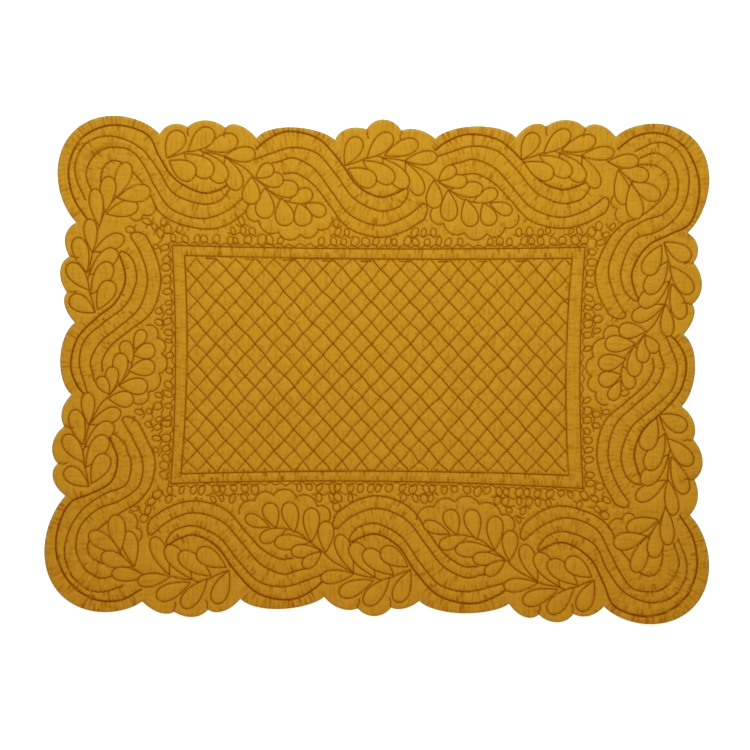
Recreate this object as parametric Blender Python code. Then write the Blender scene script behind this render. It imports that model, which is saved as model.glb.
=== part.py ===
"""A quilted cotton placemat with a scalloped edge, lying flat.

The mat is one padded sheet: two cotton faces with thin wadding between them, quilted through and
turned at the edge. It lies in the XY plane with its long side along +X and its underside at Z = 0.
The outline is a ring of scallops, each one a leaning circular arc between two notches. Two stitched
lines frame the middle and are sunk into the top as rounded channels.
"""

import math

import bmesh
import bpy
import numpy as np
from mathutils import Vector

MM = 0.001

# Driving dimensions, in metres
MAT_WIDTH = 0.480  # over the scallops, along X
MAT_THICKNESS = 3.0 * MM  # front cloth, wadding and back cloth together
EDGE_THICKNESS = 0.7 * MM  # the upright band of the turned edge
EDGE_ROUNDING = 1.6 * MM  # how far in from the edge the faces reach their full height
UNDER_ROUNDING = 0.5 * MM  # the same on the underside
EDGE_HEIGHT = 0.5 * MM  # the lower side of the edge band, above the table
TOP_ROUNDING_STEPS = 3
UNDER_ROUNDING_STEPS = 2
ARC_STEP = 4.0 * MM  # the length of one facet along a scallop
CHANNEL_WIDTH = 2.4 * MM
CHANNEL_DEPTH = 0.7 * MM
CHANNEL_SIDES = 10

COTTON_COLOUR = (0.479, 0.222, 0.012, 1.0)  # mustard yellow
COTTON_ROUGHNESS = 0.85

# How a scallop's height is shared out along it: a power of a circle's, so that under 1 fills out its
# shoulders and over 1 draws them in.
ROUND = 1.0
BROAD = 0.75
CORNER = 1.2

# The scallops, clockwise from the end of the back left corner. Each starts at the notch (x, y), rises
# over the chord to the next notch, and its crown leans forward along the edge. All in millimetres
# from the middle of the mat.
# x, y, rise, lean, shoulders
BACK_SCALLOPS = [
    (-156.5, 170.5, 4.6, 0.0, ROUND),
    (-136.5, 175.5, 5.1, -0.5, ROUND),
    (-109.0, 175.0, 4.9, -3.0, ROUND),
    (-86.5, 167.5, 8.5, -2.5, BROAD),
    (-30.0, 166.0, 4.8, -1.5, ROUND),
    (-7.0, 174.0, 7.4, -0.5, ROUND),
    (18.0, 173.0, 3.4, -0.5, ROUND),
    (42.5, 167.0, 8.5, 0.5, BROAD),
    (100.5, 168.0, 4.6, 2.0, ROUND),
    (122.0, 176.0, 5.1, 1.0, ROUND),
    (150.5, 175.0, 4.9, -1.5, ROUND),
    (172.5, 168.5, 44.6, -3.0, CORNER),
]
RIGHT_SCALLOPS = [
    (224.5, 99.0, 5.2, 0.0, ROUND),
    (229.0, 77.5, 6.4, 1.0, ROUND),
    (228.0, 47.5, 3.6, -2.5, ROUND),
    (221.5, 25.5, 9.2, -2.0, BROAD),
    (220.0, -26.0, 4.7, 1.0, ROUND),
    (228.5, -50.0, 6.4, 1.5, ROUND),
    (229.5, -79.0, 4.2, 0.5, ROUND),
    (226.0, -104.5, 47.6, 1.0, CORNER),
]
FRONT_SCALLOPS = [
    (164.0, -170.5, 4.1, 0.5, ROUND),
    (142.0, -176.0, 5.8, -1.0, ROUND),
    (117.0, -176.5, 5.1, -2.0, ROUND),
    (95.5, -168.5, 8.1, 1.5, BROAD),
    (31.0, -166.5, 2.8, 1.0, ROUND),
    (10.5, -171.5, 5.8, 0.0, ROUND),
    (-13.5, -172.0, 4.2, -1.0, ROUND),
    (-38.0, -163.5, 8.2, 2.0, BROAD),
    (-98.0, -165.0, 4.5, 2.0, ROUND),
    (-121.5, -173.0, 4.5, -1.0, ROUND),
    (-146.0, -174.5, 3.8, -2.0, ROUND),
    (-169.0, -167.0, 45.2, -3.0, CORNER),
]
LEFT_SCALLOPS = [
    (-224.5, -90.5, 5.9, 2.0, ROUND),
    (-230.0, -67.5, 6.1, -1.0, ROUND),
    (-225.5, -40.5, 4.1, -1.0, ROUND),
    (-220.0, -17.5, 9.5, 0.0, BROAD),
    (-217.5, 34.0, 4.0, 2.5, ROUND),
    (-223.5, 56.0, 6.0, 2.0, ROUND),
    (-221.5, 82.0, 6.0, 1.0, ROUND),
    (-216.5, 106.5, 46.6, 1.5, CORNER),
]

# The stitched frame: its corners, and how far each side bows out at its middle, in millimetres,
# clockwise from the back left corner.
# x, y, bow of the side that starts here
OUTER_FRAME = [(-147.5, 91.0, 1.0), (150.5, 88.5, 1.0), (149.0, -85.5, -3.5), (-148.5, -82.0, 0.5)]
INNER_FRAME = [(-138.5, 82.5, 0.5), (141.0, 80.5, 0.5), (138.5, -76.0, -2.5), (-141.0, -75.0, 0.5)]
FRAME_STEPS = 12  # facets along one side of a frame


def scallop_points(start, end, rise, lean, shoulders):
    """Points along one scallop: the circle through both notches and the crown, which lies the rise
    off the middle of the chord, sheared along the chord by the lean."""
    chord = end - start
    half = chord.length / 2
    along = chord.normalized()
    outward = Vector((-along.y, along.x))
    radius = (half**2 + rise**2) / (2 * rise)
    sweep = 2 * math.atan2(rise, half)
    steps = max(5, round(2 * sweep * radius / ARC_STEP))
    points = []
    for i in range(steps):
        angle = sweep * (2 * i / steps - 1)
        height = radius * math.cos(angle) - (radius - rise)
        share = max(height / rise, 0.0)
        if share > 0:
            height = rise * share**shoulders
        place = half + radius * math.sin(angle) + lean * share
        points.append(start + along * place + outward * height)
    return points


def mat_outline():
    """The whole edge, clockwise, centred on the origin and brought to the mat's width."""
    rows = BACK_SCALLOPS + RIGHT_SCALLOPS + FRONT_SCALLOPS + LEFT_SCALLOPS
    points = []
    for row, following in zip(rows, rows[1:] + rows[:1]):
        x, y, rise, lean, shoulders = row
        start = Vector((x, y)) * MM
        end = Vector(following[:2]) * MM
        points += scallop_points(start, end, rise * MM, lean * MM, shoulders)
    flat = np.array(points)
    low = flat.min(axis=0)
    high = flat.max(axis=0)
    return (flat - (low + high) / 2) * MAT_WIDTH / (high[0] - low[0])


def cotton():
    """Mustard-yellow cotton: matt, with no metal in it."""
    material = bpy.data.materials.new("mustard_cotton")
    material.use_nodes = True
    shader = material.node_tree.nodes["Principled BSDF"]
    shader.inputs["Base Color"].default_value = COTTON_COLOUR
    shader.inputs["Roughness"].default_value = COTTON_ROUGHNESS
    shader.inputs["Metallic"].default_value = 0.0
    return material


def round_face(mesh, face, inward, rise, steps):
    """Insets a flat face step by step along a quarter of an ellipse, so the edge rolls over. The
    depth follows the face's own normal."""
    moved = 0.0
    raised = 0.0
    for step in range(1, steps + 1):
        angle = step / steps * math.pi / 2
        to = inward * (1 - math.cos(angle))
        up = rise * math.sin(angle)
        bmesh.ops.inset_region(
            mesh, faces=[face], thickness=to - moved, depth=up - raised, use_even_offset=True
        )
        moved = to
        raised = up


def padded_sheet(outline):
    """The mat's body: the edge band, and a rolled-over face above and below it."""
    mesh = bmesh.new()
    ring = [mesh.verts.new((x, y, EDGE_HEIGHT)) for x, y in outline]
    base = mesh.faces.new(ring)
    base.normal_update()
    if base.normal.z > 0:
        base.normal_flip()
    band = bmesh.ops.extrude_face_region(mesh, geom=[base], use_keep_orig=True)
    top = next(item for item in band["geom"] if isinstance(item, bmesh.types.BMFace))
    bmesh.ops.translate(mesh, verts=top.verts, vec=(0, 0, EDGE_THICKNESS))
    bmesh.ops.recalc_face_normals(mesh, faces=mesh.faces)
    rise = MAT_THICKNESS - EDGE_HEIGHT - EDGE_THICKNESS
    round_face(mesh, top, EDGE_ROUNDING, rise, TOP_ROUNDING_STEPS)
    round_face(mesh, base, UNDER_ROUNDING, EDGE_HEIGHT, UNDER_ROUNDING_STEPS)
    data = bpy.data.meshes.new("quilted_mat")
    mesh.to_mesh(data)
    mesh.free()
    return bpy.data.objects.new("quilted_mat", data)


def frame_path(corners):
    """A closed path round a frame of four slightly bowed sides. A side's bow is a parabola that is
    nought at its corners."""
    path = []
    for row, following in zip(corners, corners[1:] + corners[:1]):
        start = Vector(row[:2]) * MM
        end = Vector(following[:2]) * MM
        along = (end - start).normalized()
        outward = Vector((-along.y, along.x))
        for step in range(FRAME_STEPS):
            share = step / FRAME_STEPS
            bow = row[2] * MM * 4 * share * (1 - share)
            path.append(start.lerp(end, share) + outward * bow)
    return path


def channel_cutter(name, corners):
    """A closed tube along a frame line. Its lower half cuts the rounded channel that the stitching
    pulls in. Each ring of the tube stands square to the line, and is mitred at the corners."""
    path = frame_path(corners)
    count = len(path)
    places = []
    for i, place in enumerate(path):
        before = (place - path[i - 1]).normalized()
        after = (path[(i + 1) % count] - place).normalized()
        mean = (before + after).normalized()
        side = Vector((-mean.y, mean.x)) / mean.dot(after)
        for k in range(CHANNEL_SIDES):
            angle = 2 * math.pi * (k + 0.5) / CHANNEL_SIDES
            across = place + side * CHANNEL_WIDTH / 2 * math.cos(angle)
            up = MAT_THICKNESS + CHANNEL_DEPTH * math.sin(angle)
            places.append((across.x, across.y, up))
    faces = []
    for i in range(count):
        for k in range(CHANNEL_SIDES):
            here = i * CHANNEL_SIDES
            there = (i + 1) % count * CHANNEL_SIDES
            beside = (k + 1) % CHANNEL_SIDES
            faces.append((here + k, here + beside, there + beside, there + k))
    data = bpy.data.meshes.new(name)
    data.from_pydata(places, [], faces)
    shape = bmesh.new()
    shape.from_mesh(data)
    bmesh.ops.recalc_face_normals(shape, faces=shape.faces)
    shape.to_mesh(data)
    shape.free()
    cutter = bpy.data.objects.new(name, data)
    bpy.context.collection.objects.link(cutter)
    cutter.hide_render = True
    cutter.display_type = "WIRE"
    return cutter


def sink_channel(body, cutter):
    """Cuts the channel out of the body with a Boolean modifier."""
    cut = body.modifiers.new(cutter.name, "BOOLEAN")
    cut.operation = "DIFFERENCE"
    cut.object = cutter


def build():
    """Clears the scene and makes the mat."""
    for old in list(bpy.data.objects):
        bpy.data.objects.remove(old)
    body = padded_sheet(mat_outline())
    bpy.context.collection.objects.link(body)
    body.data.materials.append(cotton())
    body.data.shade_smooth()
    body.data.set_sharp_from_angle(angle=math.radians(50))
    sink_channel(body, channel_cutter("outer_frame_channel", OUTER_FRAME))
    sink_channel(body, channel_cutter("inner_frame_channel", INNER_FRAME))


build()
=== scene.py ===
# %% [markdown]
# # A quilted cotton placemat with a scalloped edge
#
# This lesson builds the looks of a mustard-yellow placemat, 48 cm wide. It is a small
# wholecloth quilt: a front cloth and a back cloth with thin wadding between them, held
# together by lines of machine stitching in a single matching thread. Nothing is printed
# on it. All that the eye sees is relief: where a seam pulls the two cloths together there
# is a narrow dark furrow, and between the seams the cloth swells up.
#
# So the order of work follows the maker's:
#
# 1. cut the scalloped outline,
# 2. mark the quilting on it: ribbons, leaf sprays, loops, two frame lines, a crosshatch,
# 3. sew, which turns every marked line into a furrow with stitches lying in it,
# 4. look at what the sewing does to the cloth: pillows, puckers, a rolled edge.
#
# Sizes are in millimetres until the very end, where the nets are turned into metres.

import math

import bpy
import numpy as np
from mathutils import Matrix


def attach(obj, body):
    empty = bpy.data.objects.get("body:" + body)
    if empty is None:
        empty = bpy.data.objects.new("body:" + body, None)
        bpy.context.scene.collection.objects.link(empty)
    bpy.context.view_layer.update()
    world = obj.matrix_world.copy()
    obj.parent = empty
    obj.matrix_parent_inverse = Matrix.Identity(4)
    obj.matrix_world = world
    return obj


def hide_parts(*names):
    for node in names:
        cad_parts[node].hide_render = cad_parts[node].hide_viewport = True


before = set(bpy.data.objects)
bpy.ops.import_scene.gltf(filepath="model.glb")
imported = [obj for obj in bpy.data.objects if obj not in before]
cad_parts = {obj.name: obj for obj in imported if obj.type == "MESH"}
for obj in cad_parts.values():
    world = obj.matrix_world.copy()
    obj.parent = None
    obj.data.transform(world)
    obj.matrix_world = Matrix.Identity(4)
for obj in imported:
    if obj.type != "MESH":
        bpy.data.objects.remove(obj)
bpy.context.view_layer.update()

MM = 0.001

# %% [markdown]
# ## The outline
#
# The edge is cut as a run of shallow arcs. A broad arc sits over each ribbon, three
# smaller ones over each leaf spray, and one big lobe goes round each corner. A scallop is
# named by the notch where it starts, how far it stands out from the straight line to the
# next notch, how far its top leans along that line, and how square its shoulders are.
# Cutting by arcs keeps the notches sharp, and sharp notches are what makes the edge read
# as scalloped rather than wavy.
#
# The notches were read from a photograph. A fitting program then moved them, the rises and
# the leans until the arcs lay on the mat's edge, and the rows are its results, rounded.

# %% The scalloped outline
ROUND, BROAD, CORNER = 1.0, 0.75, 1.2  # shoulders: a true arc, a flat-topped one, a full lobe

# x, y of the notch, rise, lean, shoulders; clockwise from the back left
BACK = [
    (-156.5, 170.5, 4.6, 0.0, ROUND), (-136.5, 175.5, 5.1, -0.5, ROUND),
    (-109.0, 175.0, 4.9, -3.0, ROUND), (-86.5, 167.5, 8.5, -2.5, BROAD),
    (-30.0, 166.0, 4.8, -1.5, ROUND), (-7.0, 174.0, 7.4, -0.5, ROUND),
    (18.0, 173.0, 3.4, -0.5, ROUND), (42.5, 167.0, 8.5, 0.5, BROAD),
    (100.5, 168.0, 4.6, 2.0, ROUND), (122.0, 176.0, 5.1, 1.0, ROUND),
    (150.5, 175.0, 4.9, -1.5, ROUND), (172.5, 168.5, 44.6, -3.0, CORNER),
]
RIGHT = [
    (224.5, 99.0, 5.2, 0.0, ROUND), (229.0, 77.5, 6.4, 1.0, ROUND),
    (228.0, 47.5, 3.6, -2.5, ROUND), (221.5, 25.5, 9.2, -2.0, BROAD),
    (220.0, -26.0, 4.7, 1.0, ROUND), (228.5, -50.0, 6.4, 1.5, ROUND),
    (229.5, -79.0, 4.2, 0.5, ROUND), (226.0, -104.5, 47.6, 1.0, CORNER),
]
FRONT = [
    (164.0, -170.5, 4.1, 0.5, ROUND), (142.0, -176.0, 5.8, -1.0, ROUND),
    (117.0, -176.5, 5.1, -2.0, ROUND), (95.5, -168.5, 8.1, 1.5, BROAD),
    (31.0, -166.5, 2.8, 1.0, ROUND), (10.5, -171.5, 5.8, 0.0, ROUND),
    (-13.5, -172.0, 4.2, -1.0, ROUND), (-38.0, -163.5, 8.2, 2.0, BROAD),
    (-98.0, -165.0, 4.5, 2.0, ROUND), (-121.5, -173.0, 4.5, -1.0, ROUND),
    (-146.0, -174.5, 3.8, -2.0, ROUND), (-169.0, -167.0, 45.2, -3.0, CORNER),
]
LEFT = [
    (-224.5, -90.5, 5.9, 2.0, ROUND), (-230.0, -67.5, 6.1, -1.0, ROUND),
    (-225.5, -40.5, 4.1, -1.0, ROUND), (-220.0, -17.5, 9.5, 0.0, BROAD),
    (-217.5, 34.0, 4.0, 2.5, ROUND), (-223.5, 56.0, 6.0, 2.0, ROUND),
    (-221.5, 82.0, 6.0, 1.0, ROUND), (-216.5, 106.5, 46.6, 1.5, CORNER),
]
SCALLOPS = np.array(BACK + RIGHT + FRONT + LEFT)
NOTCHES = SCALLOPS[:, :2]
SHOULDERS = SCALLOPS[:, 4]


def length(v):
    """|v| of one vector or of every row"""
    return np.sqrt((np.asarray(v) ** 2).sum(-1))


def leftward(t):
    """the direction a quarter turn to the left of t"""
    return np.stack([-t[..., 1], t[..., 0]], -1)


def scallop(start, end, rise, lean=0.0, shoulders=1.0, step=0.5):
    """
    A circular arc over the chord from start to end, standing rise to the left of it:
    radius = (half chord^2 + rise^2) / (2 rise). Its height is then raised to the power
    shoulders (below 1 squares it) and its top moved along the chord by lean.
    """
    chord = end - start
    half = length(chord) / 2
    along = chord / (2 * half)
    radius = (half**2 + rise**2) / (2 * rise)
    sweep = 2 * math.atan2(rise, half)
    count = max(6, round(2 * sweep * radius / step))
    angle = sweep * (2 * np.arange(count) / count - 1)
    share = np.maximum(radius * np.cos(angle) - (radius - rise), 0) / rise
    place = half + radius * np.sin(angle) + lean * share
    return start + place[:, None] * along + (rise * share**shoulders)[:, None] * leftward(along)


def resample(line, step=0.5):
    """the same line with its points about step apart"""
    line = line[np.r_[True, length(np.diff(line, axis=0)) > 1e-6]]
    run = np.r_[0, np.cumsum(length(np.diff(line, axis=0)))]
    at = np.linspace(0, run[-1], max(2, round(run[-1] / step) + 1))
    return np.stack([np.interp(at, run, line[:, k]) for k in (0, 1)], 1)


def edge_arcs(step=0.5):
    """the arcs of the whole edge, one for each scallop"""
    ends = np.roll(NOTCHES, -1, 0)
    return [scallop(a, b, *row[2:], step=step) for a, b, row in zip(NOTCHES, ends, SCALLOPS)]


outline = np.vstack(edge_arcs())
middle = (outline.max(0) + outline.min(0)) / 2  # the measured part has its origin here
print(len(SCALLOPS), "scallops, outline", np.round(outline.max(0) - outline.min(0), 1), "mm")

# %% [markdown]
# ## The quilting plan
#
# The border is one motif repeated ten times, clockwise: a ribbon of four lines starts
# under a broad scallop (or a corner lobe), swings down over the next leaf spray's far
# side, and ends tucked behind the next ribbon. Six repeats lie along the sides and four
# go round the corners. A maker draws such a repeat once, on card, and then walks the card
# round the cloth, easing it a little each time so that it meets the notches. This
# plan works the same way. Each repeat is charted once by a few named places, a smooth
# line is drawn through them, and each time it is set down it is stretched to its own
# notches and to the depths its own lines swing between. Most of those depths were picked
# from the places where a program found dark lines in the photograph.

# %% Smooth lines and the repeats

def spline(points, step=0.5):
    """
    A smooth line through the points: a cubic between each pair, with
    p(s) = (2s^3 - 3s^2 + 1) p0 + (s^3 - 2s^2 + s) m0 + (3s^2 - 2s^3) p1 + (s^3 - s^2) m1.
    """
    p = np.asarray(points, float)
    t = np.r_[0, np.cumsum(np.sqrt(length(np.diff(p, axis=0))))]
    slope = np.gradient(p, t, axis=0)
    at = np.linspace(0, t[-1], 24 * len(p))
    i = np.clip(np.searchsorted(t, at, side="right") - 1, 0, len(t) - 2)
    gap = (t[i + 1] - t[i])[:, None]
    s = (at - t[i])[:, None] / gap
    line = (2 * s**3 - 3 * s**2 + 1) * p[i] + (s**3 - 2 * s**2 + s) * gap * slope[i]
    line += (3 * s**2 - 2 * s**3) * p[i + 1] + (s**3 - s**2) * gap * slope[i + 1]
    return resample(line, step)


def ease(x):
    """0 below 0, 1 above 1, and 3x^2 - 2x^3 between"""
    x = np.clip(x, 0, 1)
    return x * x * (3 - 2 * x)


# A side repeat, by distance along the edge from its first notch and depth in from the
# notches: its broad scallop ends at 56.4 and its spray of leaves at 129.3.
SIDE_NOTCHES = (56.4, 129.3)
# start, rise, crest, shoulder, fall, foot, trough, lift, end of the four lines
SIDE_RIBBON = [
    [(0, 8.5), (7, 2), (22, -4.5), (44, 0.5), (60, 17), (73, 35), (89, 43), (100, 40.5), (108, 36.5)],
    [(-1.5, 15.5), (9, 11.5), (26, 6.5), (43, 10.5), (57, 26), (71, 44.5), (89, 53), (98, 52), (104, 49.5)],
    [(11, 18), (17, 16.5), (26, 14), (41, 21.5), (54, 38.5), (68, 56), (89, 63.5), (108, 57), (120.5, 47)],
    [(19, 25.5), (23, 25), (28, 25), (40, 32.5), (52, 47.5), (66, 65), (88, 72), (106, 68), (121, 59)],
]
CHART_CREST = (-4.5, 6.5, 14, 25)
CHART_TROUGH = (43, 53, 63.5, 72)
# first notch: depths of the four lines at the crest, then at the trough
SIDE_DEPTHS = {
    3: ((-4.5, 7, 14.5, 25.5), (42.5, 52.5, 63, 71.5)),
    7: ((-2.5, 6, 15.5, 26), (38, 48, 58, 66)),
    15: ((-1, 5.5, 15, 22.5), (38.5, 48, 57.5, 65.5)),
    23: ((-1, 7.5, 17.5, 25.5), (46.5, 54, 65, 74)),
    27: ((-1.5, 8, 17, 28), (47, 53.5, 63, 71.5)),
    35: ((-1, 5, 13, 21.5), (36.5, 44.5, 52.5, 62)),
}

# The corner repeat is drawn in place at the back left corner, by x and y.
DRAWN_CORNER = np.array([(-216.5, 106.5), (-156.5, 170.5), (-86.5, 167.5)])
LOBE_MIDDLE = (-185, 137)
LOBE_END = (-165, 165)  # a drawn line leaves the lobe to the right of this x and below this y,
LOBE_FADE = (40, 20)    # little by little over these stretches
SHORT_RAY = 10
# start, first side, second side, turn, top, far top, shoulder, fall, foot, trough, lift, end
CORNER_RIBBON = [
    [(-208.5, 107.5), (-219, 124), (-222.5, 145), (-215, 165), (-199, 175.5), (-182, 176.5),
     (-164, 169), (-156.5, 154.5), (-145, 137.5), (-125, 127.5), (-114, 129.5), (-107, 133.5)],
    [(-209, 123), (-216, 139.5), (-216, 151), (-209, 163), (-195, 168.5), (-181, 166),
     (-169, 159), (-157.5, 144.5), (-147, 127.5), (-126, 119.5), (-118, 120), (-112, 122.5)],
    [(-204, 128), (-208.5, 141), (-204, 153), (-196, 159), (-187, 160), (-177, 157.5),
     (-168, 147), (-161, 133), (-149, 116.5), (-126, 108.5), (-108, 114), (-95.5, 124)],
    [(-198, 125), (-198.5, 141), (-195, 148.5), (-189, 151), (-182, 148.5), (-172, 138.5),
     (-163, 126), (-158, 115.5), (-147, 107), (-122, 101), (-108, 104), (-95, 113)],
]
TROUGH = 9  # its place in the rows above
# first notch: how much further out the four lines run than drawn, on the lobe's first
# side and on its second, their depth at the trough, and how far along and in their fall lies
CORNER_DEPTHS = {
    39: ((-0.5, 1, 1, 0), (-0.5, 0, 0.5, 0), (41.5, 49.5, 60, 67.5), (0, 0, 0, 0), 0.0),
    11: ((-1, -1.5, -0.5, 1), (3, 3, 1.5, 2), (39, 47, 56, 65.5), (0, 0, 0, 0), 0.0),
    19: ((1, -0.5, 2, -1), (1, 0, 0.5, -1.5), (45, 53, 63, 71.5), (0, 0, 0, 0), 0.0),
    31: ((0, 0.5, -1.5, -2.5), (0.5, 1.5, 1, 1), (36, 46, 54.5, 63), (5, 7, 11, 12), 5.0),
}
FALL = np.array([0, 0, 0, 0, 0, 0.2, 0.6, 0.9, 1, 0.35, 0, 0])


def edge_frame(start, end):
    """the direction along the edge, and the one square to it that points into the mat"""
    along = (end - start) / length(end - start)
    return along, -leftward(along)


def eased(origin, along, pairs):
    """
    distance u along a chart -> place on the edge line. The stretch k1 u + k2 u^2 makes
    the charted notches (u, place) fall on their own ones.
    """
    k = np.linalg.solve([[u, u * u] for u, _ in pairs], [np.dot(q - origin, along) for _, q in pairs])
    return lambda u: origin + (k[0] * u + k[1] * u * u)[:, None] * along


def corner_place(notches):
    """the drawn corner's plane moved so that its three notches fall on these three"""
    turn = np.linalg.solve(DRAWN_CORNER[1:] - DRAWN_CORNER[0], notches[1:] - notches[0])
    return lambda p: (np.asarray(p, float) - DRAWN_CORNER[0]) @ turn + notches[0]


def side_ribbon(notches, depths):
    """the four lines of a side repeat, each swinging between its own two depths"""
    along, inward = edge_frame(notches[0], notches[2])
    place = eased(notches[0], along, list(zip(SIDE_NOTCHES, notches[1:])))
    lines = []
    for k, row in enumerate(np.array(SIDE_RIBBON, float)):
        swing = (row[:, 1] - CHART_CREST[k]) / (CHART_TROUGH[k] - CHART_CREST[k])
        depth = depths[0][k] + swing * (depths[1][k] - depths[0][k])
        lines.append(place(row[:, 0]) + depth[:, None] * inward)
    return lines


def corner_ribbon(notches, depths):
    """the four lines of a corner repeat: the drawn ones moved here, then let out or in"""
    place = corner_place(notches)
    centre = place([LOBE_MIDDLE])[0]
    along, inward = edge_frame(notches[1], notches[2])
    lines = []
    for k, row in enumerate(np.array(CORNER_RIBBON, float)):
        at = place(row) + FALL[:, None] * (depths[3][k] * along + depths[4] * inward)
        past_lobe = ease((row[:, 0] - LOBE_END[0]) / LOBE_FADE[0])
        past_lobe *= ease((LOBE_END[1] - row[:, 1]) / LOBE_FADE[1])
        round_lobe = np.arctan2(row[:, 1] - LOBE_MIDDLE[1], LOBE_MIDDLE[0] - row[:, 0]) / (math.pi / 2)
        let_out = depths[0][k] + (depths[1][k] - depths[0][k]) * np.clip(round_lobe, 0, 1)
        ray = (at - centre) / np.maximum(length(at - centre), SHORT_RAY)[:, None]
        deeper = depths[2][k] - np.dot(at[TROUGH] - notches[1], inward)
        lines.append(at + (let_out * (1 - past_lobe))[:, None] * ray
                     + (deeper * past_lobe)[:, None] * inward)
    return lines


def rounded_end(a, b, reach=3.5):
    """a blunt tip that joins two neighbouring lines and stands out from their ends by reach"""
    ahead = a[-1] - a[-2]
    ahead = ahead / length(ahead)
    p, q = a[-1], b[-1]
    return spline([p, 0.75 * p + 0.25 * q + 0.8 * reach * ahead, (p + q) / 2 + reach * ahead,
                   0.25 * p + 0.75 * q + 0.8 * reach * ahead, q])


repeats = []
for i in np.flatnonzero(SHOULDERS != ROUND):
    around = (i + np.array([-3, 0, 1, 4])) % len(NOTCHES)  # its spray's start, its own three notches
    on_side = SHOULDERS[i] == BROAD
    depths = SIDE_DEPTHS[i] if on_side else CORNER_DEPTHS[i]
    trough = depths[1] if on_side else depths[2]
    repeats.append({"first": i, "on_side": on_side, "notches": NOTCHES[around],
                    "depths": depths, "trough": trough})

seams = []  # (kind, line) for everything that is sewn
for repeat in repeats:
    ribbon = side_ribbon if repeat["on_side"] else corner_ribbon
    lines = ribbon(repeat["notches"][1:], repeat["depths"])
    seams += [("ribbon" if k else "outer ribbon", spline(line)) for k, line in enumerate(lines)]
    seams += [("ribbon", rounded_end(lines[0], lines[1])), ("ribbon", rounded_end(lines[2], lines[3]))]
print(len(repeats), "repeats,", len(seams), "ribbon lines")

# %% [markdown]
# ## Leaf sprays
#
# A stem runs along each spray and every leaf is a single loop sewn out from the stem and
# back, so a leaf is a drop: pointed where it leaves the stem, widest past its middle and
# round at its tip. Eight leaves lie over the spray's own scallops and the rest under the
# next ribbon. Where the spray comes near the loops, an echo line of small arcs closes it off.
# How far most sprays are shifted was found by a program that slid them over the
# photograph's dark lines; three were then moved.

# %% Leaf sprays
# base and tip along the edge and in from it, then width
STEM = [(-66.5, 16.5), (-59.5, 14.5), (-49, 10.5), (-44, 9.7), (-39.5, 11), (-32, 12), (-25, 13.5)]
LEAVES = [
    (-66.5, 16.5, -56.5, -3, 13.5), (-50.5, 11.5, -33, -5, 13.5), (-38, 9.5, -14.5, 1, 13),
    (-23.5, 13.5, -1, 11, 11), (-64.5, 18.5, -45, 29, 14.5), (-53.5, 13, -32, 27.5, 14.5),
    (-39.5, 11.5, -22.5, 32, 14), (-23, 14.5, -12.5, 37.5, 12.5),
]
SIDE_STEM = [(-16.5, 17.5), (-8, 22), (-1, 28.5), (8, 35.5), (15, 41.5), (21, 44), (31, 45.5)]
SIDE_LEAVES = [
    (0, 28.5, 12, 19.5, 10), (0.5, 29.5, 20, 29.5, 11), (8, 36, 31, 35.5, 12.5),
    (24.5, 45, 41, 37.5, 11), (-3, 28, -3, 47.5, 13), (7, 35.5, 7.5, 57.5, 13.5),
    (19, 42.5, 23.5, 62, 13.5), (31.5, 45.5, 37, 61.5, 13), (36, 46, 51, 52.5, 10),
]
SIDE_ECHO = [(-3.5, 47.5, 6), (3.5, 59.5, 4.5), (18, 67, 5), (33.5, 68, 4.5), (46, 64, 4), (56, 55, 0)]
CORNER_STEM = [(-201.5, 98.5), (-200, 101.5), (-196, 112), (-188, 122.5)]
CORNER_LEAVES = [
    (-200, 101.5, -203, 127, 11.5), (-195.5, 112, -193, 136, 13), (-188, 122, -180, 146, 13),
    (-187, 122, -164.5, 127, 14), (-195, 110.5, -173.5, 116.5, 13),
]
CORNER_ECHO = [(-178, 109, 4), (-168.5, 110, 3.5), (-159, 116.5, 0)]
DRAWN_TROUGH = (41.5, 69.5)  # depths of the ribbon lines just outside and just inside the chart
SIDE_UNDER = (SIDE_STEM, SIDE_LEAVES, SIDE_ECHO)
CORNER_UNDER = (CORNER_STEM, CORNER_LEAVES, CORNER_ECHO)
SPRAY_REACH = 72.0
UNDER_FADE = 40.0  # over this stretch the depths go over from the last ribbon's to the next one's
SLIM = (1.06, 0.88)
# first notch: how far the spray is eased along and in, and the length and width of its leaves
SPRAYS = {
    3: (0.5, 0.5, 1.0, 1.0), 7: (1.5, 2.0, 1.02, 0.90), 11: (-1.5, 1.5, *SLIM), 15: (1.5, 1.0, *SLIM),
    19: (-1.0, 1.5, *SLIM), 23: (3.5, 0.8, *SLIM), 27: (2.0, 1.5, *SLIM), 31: (2.5, 2.0, *SLIM),
    35: (1.5, 2.0, *SLIM), 39: (2.0, 0.0, *SLIM),
}
WIDEST = 0.77      # the most that sin a |sin(a/2)| comes to
LEAF_BOX = 15.0    # all of a leaf lies this near its middle
TUCK = 0.97        # a leaf hides what runs within this share of its outline


def leaf(base, tip, width):
    """
    A drop from base to tip: for angle a from 0 to 2 pi it lies (1 - cos a) / 2 of the way
    along and sin a |sin(a/2)| width / (2 WIDEST) to the side.
    """
    angle = np.linspace(0, 2 * math.pi, 60)
    side = leftward(tip - base) / length(tip - base)
    along = (1 - np.cos(angle)) / 2
    across = np.sin(angle) * np.abs(np.sin(angle / 2)) * width / (2 * WIDEST)
    return resample(base + along[:, None] * (tip - base) + across[:, None] * side)


def echo(points, rises):
    """small arcs from point to point, bulging to the right"""
    arcs = [scallop(b, a, rise)[::-1] for a, b, rise in zip(points, points[1:], rises)]
    return np.vstack(arcs)


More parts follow.
